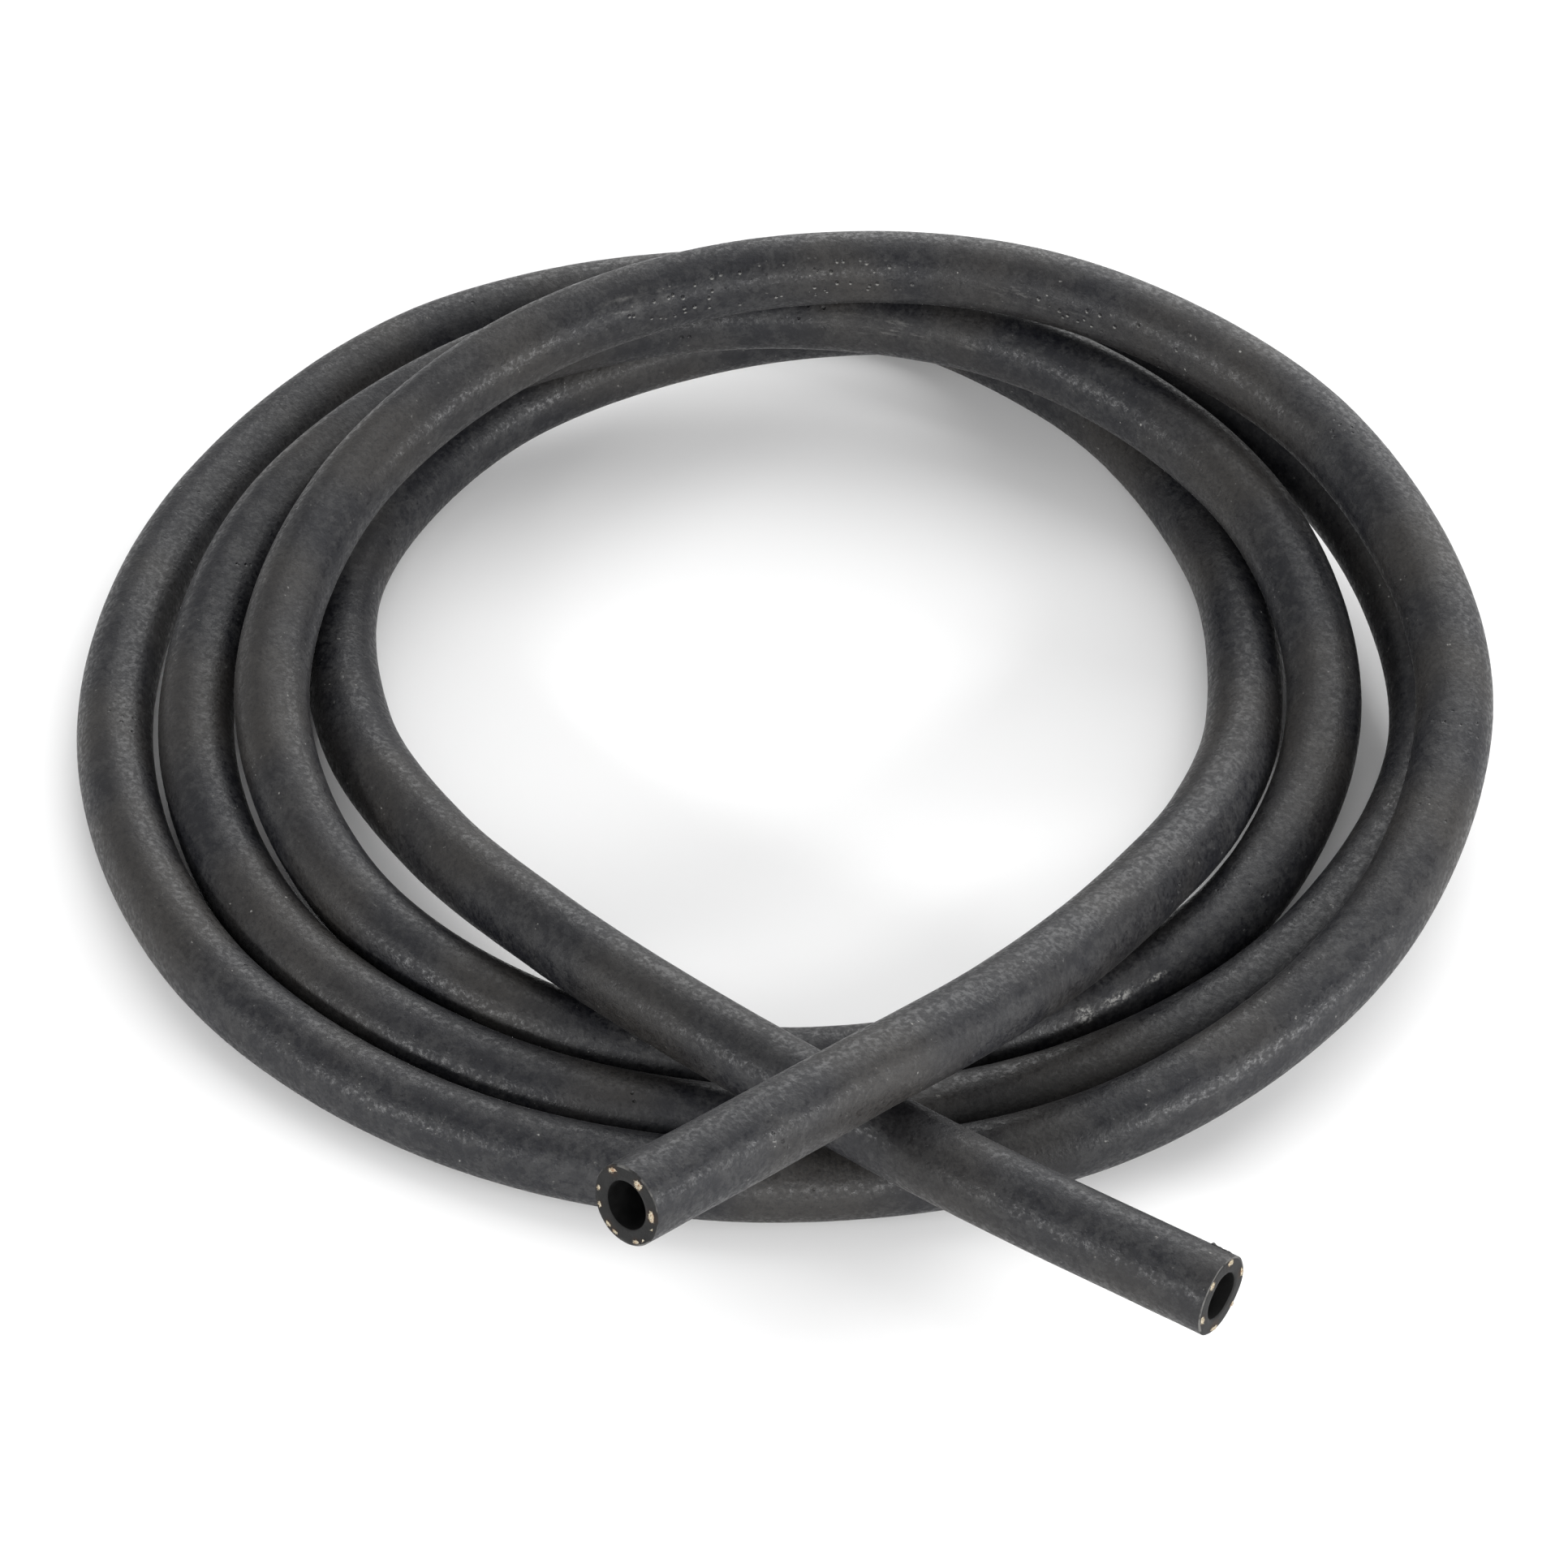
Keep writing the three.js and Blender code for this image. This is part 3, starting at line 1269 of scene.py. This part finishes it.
    def build(self, material: bpy.types.Material) -> bpy.types.Object:
        """Make the tufts of this face as one plain mesh.

        Args:
            material: the yarn's material.

        Returns:
            The object.
        """
        name = f"yarn_ends_{self.wall.cuts[self.cut_index].name}"
        seat = bpy.data.objects.new("yarn_seat", self.bed())
        bpy.context.scene.collection.objects.link(seat)
        tree = self.fibre_tree(material)
        modifier = seat.modifiers.new("fibres", "NODES")
        modifier.node_group = tree
        sizes = {
            "Outward": tuple(self.outward()),
            "Density": self.fibres_per_square_mm / MILLIMETRE**2,
            "Length": self.fibre_length,
            "Radius": self.fibre_radius,
        }
        for item in tree.interface.items_tree:
            if item.name in sizes:
                modifier[item.identifier] = sizes[item.name]
        graph = bpy.context.evaluated_depsgraph_get()
        mesh = bpy.data.meshes.new_from_object(seat.evaluated_get(graph))
        mesh.name = name
        bpy.data.objects.remove(seat)
        tufts = bpy.data.objects.new(name, mesh)
        bpy.context.scene.collection.objects.link(tufts)
        return tufts


@dataclass
class TornLip:
    """A thin lip of rubber that the knife tore up along the skin behind a cut."""

    wall: HoseWall
    cut_index: int
    clock: float = 225.0
    start: float = 1.3 * MILLIMETRE
    finish: float = 6.4 * MILLIMETRE
    thickness: float = 0.22 * MILLIMETRE
    root: float = 0.25 * MILLIMETRE
    heights: tuple[float, ...] = (0.0, 0.20, 0.28, 0.20, 0.26, 0.18, 0.24, 0.30, 0.24, 0.30, 0.46, 0.52, 0.05)
    sway: tuple[float, ...] = (0.0, 0.10, -0.05, 0.12, 0.04, -0.08, 0.06, 0.10, 0.0, 0.10, 0.25, 0.40, 0.30)

    def build(self, material: bpy.types.Material) -> bpy.types.Object:
        """Make the lip.

        Args:
            material: the skin's material.

        Returns:
            The object.
        """
        wall = self.wall
        end = wall.cut_run(self.cut_index)[0]
        inward = 1 if self.cut_index == 0 else -1
        runs = end + inward * np.linspace(self.start, self.finish, len(self.heights))
        centre = wall.line.at(runs)
        _, sides, ups = wall.line.frames(runs)
        work = bmesh.new()
        loops = []
        angle = math.radians(self.clock)
        for at, side, up, height, sway in zip(centre, sides, ups, self.heights, self.sway):
            out = side * math.sin(angle) - up * math.cos(angle)
            round_wall = side * math.cos(angle) + up * math.sin(angle)
            foot = at + out * (wall.outer_radius - self.root)
            half = round_wall * self.thickness / 2
            rise = out * (self.root + height * MILLIMETRE)
            tip = foot + rise + round_wall * sway * MILLIMETRE
            waist = foot + out * (self.root + 0.4 * height * MILLIMETRE)
            shape = (
                foot - 2 * half, waist - half, tip - 0.4 * half,
                tip + 0.4 * half, waist + half, foot + 2 * half,
            )
            loops.append([work.verts.new(point) for point in shape])
        for first, second in zip(loops, loops[1:]):
            for corner in range(len(first)):
                following = (corner + 1) % len(first)
                work.faces.new((first[corner], first[following], second[following], second[corner]))
        work.faces.new(loops[0])
        work.faces.new(reversed(loops[-1]))
        bmesh.ops.recalc_face_normals(work, faces=work.faces)
        mesh = bpy.data.meshes.new("torn_lip")
        work.to_mesh(mesh)
        work.free()
        mesh.materials.append(material)
        lip = bpy.data.objects.new("torn_lip", mesh)
        bpy.context.scene.collection.objects.link(lip)
        return lip


# Studio


@dataclass(frozen=True)
class Softbox:
    """One soft lamp, aimed at the coil."""

    name: str
    place: tuple[float, ...]
    size: tuple[float, float]
    power: float

    def build(self) -> None:
        """Hang the lamp."""
        lamp = bpy.data.lights.new(self.name, "AREA")
        lamp.shape = "RECTANGLE"
        lamp.size, lamp.size_y = self.size
        lamp.energy = self.power
        holder = bpy.data.objects.new(self.name, lamp)
        holder.location = self.place
        aim = Vector((0, 0, 0)) - Vector(self.place)
        holder.rotation_euler = aim.to_track_quat("-Z", "Y").to_euler()
        bpy.context.scene.collection.objects.link(holder)


@dataclass(frozen=True)
class Studio:
    """The pale floor, the lamps and the camera."""

    elevation: float = 43.0
    distance: float = 1.2141
    lens: float = 123.3
    target: tuple[float, float] = (0.00039, -0.00609)
    floor_reach: float = 4.0
    floor_colour: Colour = (0.94, 0.94, 0.94, 1)
    sky: Colour = (1.0, 1.0, 1.0, 1)
    sky_strength: float = 0.52
    softboxes: tuple[Softbox, ...] = (
        Softbox("overhead", (0.5, 1.1, 2.4), (3.0, 2.4), 28),
        Softbox("behind", (1.1, 2.7, 1.3), (3.8, 2.0), 76),
        Softbox("front_left", (-1.25, -0.85, 0.60), (0.7, 0.15), 11),
        Softbox("front_right", (1.32, -0.74, 0.48), (0.9, 0.15), 17),
        Softbox("front", (0.2, -1.55, 0.50), (1.0, 0.14), 12),
    )

    def camera(self, middle: np.ndarray) -> None:
        """Stand the camera in front of the coil and look down on it.

        Args:
            middle: the coil's own middle in the part's frame.
        """
        data = bpy.data.cameras.new("camera")
        data.sensor_width = 36.0
        data.lens = self.lens
        data.clip_end = 20
        tilt = math.radians(self.elevation)
        aim = Vector((middle[0] + self.target[0], middle[1] + self.target[1], middle[2]))
        back = Vector((0, -math.cos(tilt), math.sin(tilt)))
        holder = bpy.data.objects.new("camera", data)
        holder.location = aim + back * self.distance
        holder.rotation_euler = (math.pi / 2 - tilt, 0, 0)
        bpy.context.scene.collection.objects.link(holder)
        bpy.context.scene.camera = holder

    def build(self) -> None:
        """Lay the floor and hang the lamps."""
        reach = self.floor_reach
        mesh = bpy.data.meshes.new("floor")
        corners = [(-reach, -reach, 0), (reach, -reach, 0), (reach, reach, 0), (-reach, reach, 0)]
        mesh.from_pydata(corners, [], [(0, 1, 2, 3)])
        material, graph, shader = new_material("floor_paper")
        where = graph.add("ShaderNodeTexCoord").outputs["Object"]
        graph.feed(shader.inputs["Roughness"], graph.scaled(graph.noise(where, 40, 2, 0.5), 0.85, 0.95))
        shader.inputs["Base Color"].default_value = self.floor_colour
        mesh.materials.append(material)
        floor = bpy.data.objects.new("floor", mesh)
        bpy.context.scene.collection.objects.link(floor)
        for softbox in self.softboxes:
            softbox.build()
        world = bpy.data.worlds.new("studio")
        world.use_nodes = True
        sky = world.node_tree.nodes["Background"]
        sky.inputs["Color"].default_value = self.sky
        sky.inputs["Strength"].default_value = self.sky_strength
        bpy.context.scene.world = world
        bpy.context.scene.view_settings.view_transform = "Standard"


# Whole hose


@dataclass
class WaterHose:
    """The whole hose: its route, its wall and what shows on its cut ends."""

    route: CoilRoute = field(default_factory=CoilRoute)
    path_points: int = 700
    seed: int = 11
    shift: np.ndarray = field(init=False)
    line: CentreLine = field(init=False)

    def __post_init__(self) -> None:
        """Lay the centre line where the CAD solid has it."""
        raw = self.route.smooth_line()
        plan = CentreLine(raw)
        _, side, up = plan.frames(plan.run)
        radius = self.route.outer_radius
        spread = radius * np.sqrt(side**2 + up**2)
        low, high = (raw - spread).min(axis=0), (raw + spread).max(axis=0)
        cad_low, cad_high = (np.array(corner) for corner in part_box(NODE))
        middle = (low + high) / 2
        cad_middle = (cad_low + cad_high) / 2
        self.shift = np.array([cad_middle[0] - middle[0], cad_middle[1] - middle[1], -low[2]])
        self.line = CentreLine(raw + self.shift)

    def cuts(self) -> tuple[Cut, Cut]:
        """Describe the two cut ends, with the yarns that show on each.

        Returns:
            The cut at the start of the hose and the one at its end.
        """
        first = (
            YarnEnd(clock=219, depth=0.72, wide=2.3, high=1.0),
            YarnEnd(clock=271, depth=0.64, wide=1.25, high=0.85),
            YarnEnd(clock=300, depth=0.66, wide=1.35, high=0.6),
            YarnEnd(clock=333, depth=0.72, wide=1.75, high=0.6),
            YarnEnd(clock=349, depth=0.74, wide=1.35, high=0.6),
            YarnEnd(clock=31, depth=0.76, wide=1.6, high=0.75),
            YarnEnd(clock=47, depth=0.72, wide=0.7, high=0.5),
            YarnEnd(clock=79, depth=0.66, wide=0.35, high=0.35),
            YarnEnd(clock=102, depth=0.48, wide=2.6, high=1.5),
            YarnEnd(clock=162, depth=0.50, wide=2.2, high=1.8),
        )
        second = (
            YarnEnd(clock=205, depth=0.73, wide=2.2, high=1.15),
            YarnEnd(clock=268, depth=0.79, wide=2.5, high=0.75),
            YarnEnd(clock=325, depth=0.84, wide=1.5, high=0.6),
            YarnEnd(clock=18, depth=0.73, wide=3.2, high=0.65),
            YarnEnd(clock=89, depth=0.72, wide=2.2, high=1.1),
            YarnEnd(clock=149, depth=0.80, wide=2.1, high=1.0),
        )
        return (
            Cut(
                "one", slant=4.0, slant_clock=125, ripple=0.05 * MILLIMETRE, skin_oval=0.018,
                bore_oval=0.03, bore_swell=0.03, oval_clock=180, yarns=first,
            ),
            Cut(
                "two", slant=0.5, slant_clock=250, ripple=0.11 * MILLIMETRE, skin_oval=-0.01,
                bore_oval=-0.02, bore_swell=0.015, oval_clock=180, yarns=second,
            ),
        )

    def build(self, effects: SharedEffects) -> None:
        """Make the pieces, log each one and hang them all on the root body.

        Args:
            effects: the shared node groups.
        """
        wall = HoseWall(self.line, self.route.outer_radius, self.cuts())
        skins = [SkinFinish(effects).build(), CutFinish().build(), BoreFinish(effects).build()]
        hose = wall.build(skins)
        report_piece(hose)
        on_it = []
        yarn = YarnFinish().build()
        for index in range(len(wall.cuts)):
            tufts = YarnTufts(wall, index, seed=self.seed + index).build(yarn)
            report_piece(tufts)
            on_it.append(tufts)
        lip = TornLip(wall, cut_index=1).build(skins[0])
        report_piece(lip)
        on_it.append(lip)
        for piece in (hose, *on_it):
            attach(piece, BODY)
        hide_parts(NODE)
        path = self.line.at(np.linspace(0, self.line.length, self.path_points))


def report_piece(piece: bpy.types.Object) -> None:
    """Log a finished piece's name and how many faces it has."""
    log.info("%s: %d faces", piece.name, len(piece.data.polygons))


def main() -> None:
    """Build the hose and its studio."""
    logging.basicConfig(level=logging.INFO, format="%(name)s: %(message)s")
    hose = WaterHose()
    log.info("centre line %.4f m, moved by %s", hose.line.length, np.round(hose.shift, 5).tolist())
    studio = Studio()
    studio.camera(hose.shift)
    hose.build(SharedEffects.build())
    studio.build()


if __name__ == "__main__":
    main()
